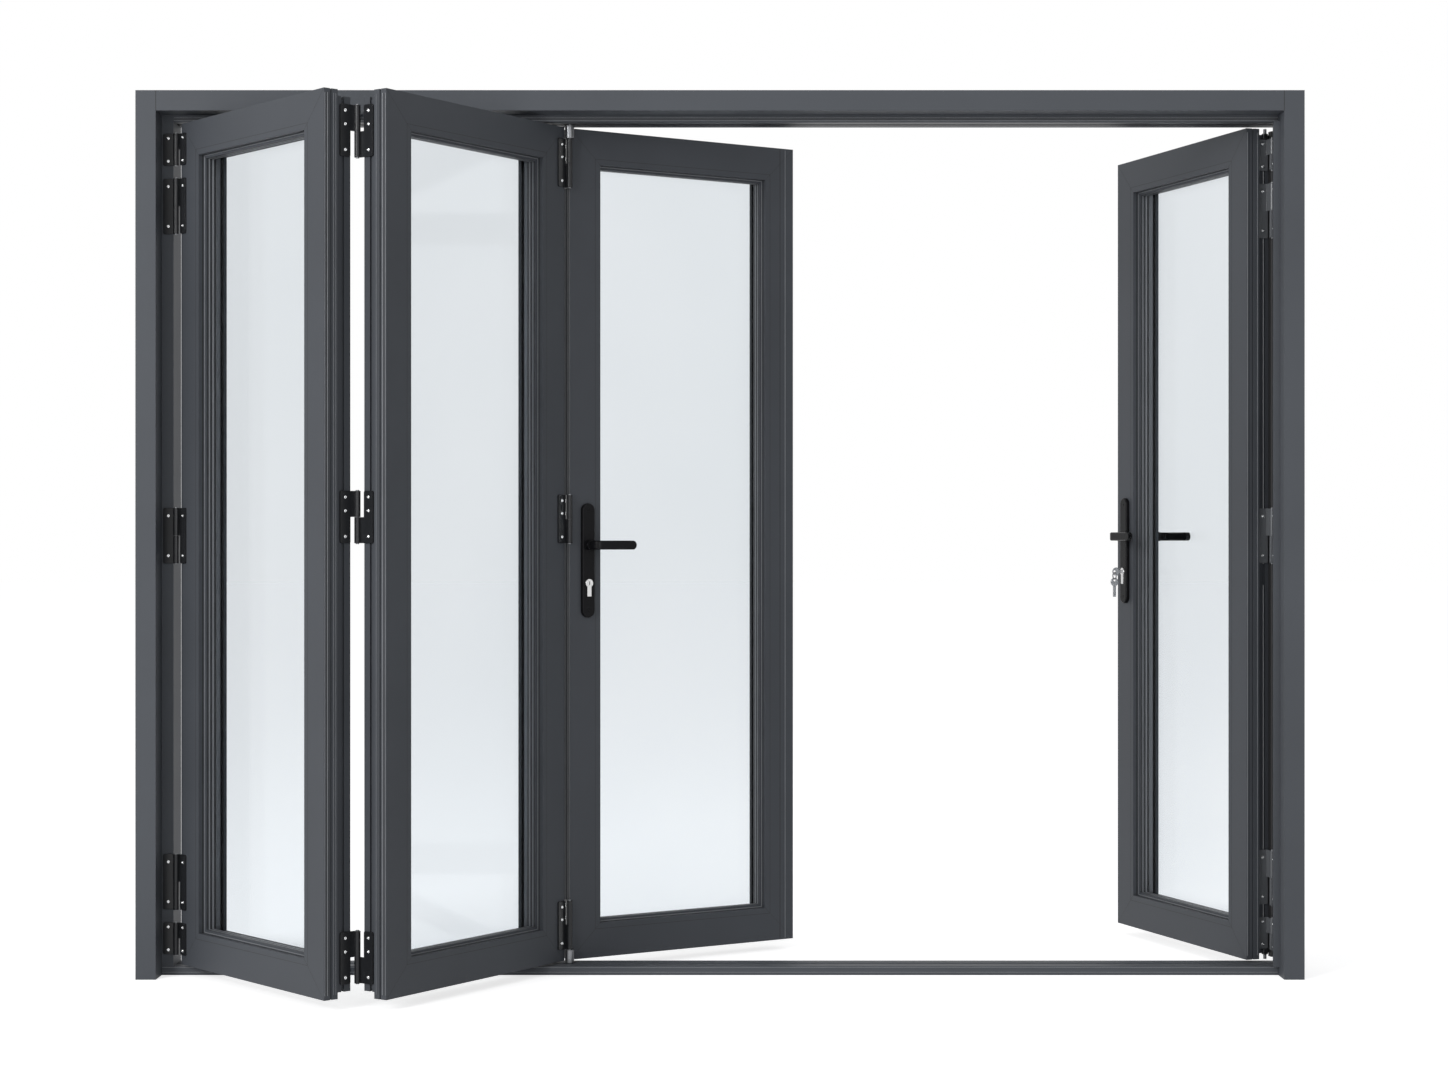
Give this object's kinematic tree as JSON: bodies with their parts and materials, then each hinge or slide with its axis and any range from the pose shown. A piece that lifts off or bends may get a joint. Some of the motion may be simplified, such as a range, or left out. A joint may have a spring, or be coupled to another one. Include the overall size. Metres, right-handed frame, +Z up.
{
  "type": "folding door",
  "caption": "Glazed aluminium folding door in its frame, leaves folded to one side, with a hinged access door, lever handles and cylinder locks.",
  "frame": {"origin": "on the floor, at the middle of the frame's width and depth", "axes": "+X to the right and -Y to the outside, seen from outside; +Z up"},
  "size_m": [2.76, 1.1646, 2.1],
  "materials": {
    "powder_coat": "anthracite satin powder coat",
    "black_hardware": "satin black",
    "steel": "dull zinc plate",
    "nickel": "satin nickel",
    "track_metal": "dark anodised",
    "glass": "clear double glazing",
    "gasket": "matt black"
  },
  "bodies": {
    "frame": {"bottom_guide": "steel", "door_hinge_pins": "steel", "fold_hinge_pins": "steel", "head": "powder_coat", "head_track": "track_metal", "jamb_left": "powder_coat", "jamb_left_hinges": "black_hardware", "jamb_right": "powder_coat", "jamb_right_hinges": "black_hardware", "leaf_1_beads": "powder_coat", "leaf_1_glass": "glass", "leaf_1_jamb_hinges": "black_hardware", "leaf_1_knee_hinges": "black_hardware", "leaf_1_rails": "powder_coat", "leaf_1_seals": "gasket", "leaf_1_stiles": "powder_coat", "leaf_2_beads": "powder_coat", "leaf_2_fold_hinges": "black_hardware", "leaf_2_glass": "glass", "leaf_2_knee_hinges": "black_hardware", "leaf_2_rails": "powder_coat", "leaf_2_seals": "gasket", "leaf_2_stiles": "powder_coat", "leaf_3_beads": "powder_coat", "leaf_3_fold_hinges": "black_hardware", "leaf_3_glass": "glass", "leaf_3_handle_plates": "black_hardware", "leaf_3_lock": "nickel", "leaf_3_rails": "powder_coat", "leaf_3_seals": "gasket", "leaf_3_stiles": "powder_coat", "sill": "powder_coat", "track_carriage": "steel"},
    "door": {"door_beads": "powder_coat", "door_glass": "glass", "door_handle_plates": "black_hardware", "door_hinges": "black_hardware", "door_keys": "nickel", "door_lock": "nickel", "door_rails": "powder_coat", "door_seals": "gasket", "door_shoot_bolts": "steel", "door_stiles": "powder_coat"},
    "door_lever": {"door_levers": "black_hardware"},
    "leaf_3_lever": {"leaf_3_levers": "black_hardware"}
  },
  "joints": [
    {"name": "door_swing", "type": "hinge", "parent": "frame", "child": "door", "pos_m": [1.332, 0.056, 1], "axis": [0, 0, 1], "range_deg": [-19, 70.2]},
    {"name": "door_lever_turn", "type": "hinge", "parent": "door", "child": "door_lever", "pos_m": [1.06651, 0.6045, 1.048], "axis": [0.9409, 0.3387, 0], "range_deg": [0, 38], "stiffness_Nm_per_rad": 1, "springref_deg": -17.19},
    {"name": "leaf_3_lever_turn", "type": "hinge", "parent": "frame", "child": "leaf_3_lever", "pos_m": [-0.32199, 0.07208, 1.026], "axis": [-0.5225, 0.8526, 0], "range_deg": [0, 38], "stiffness_Nm_per_rad": 1, "springref_deg": -17.19}
  ]
}
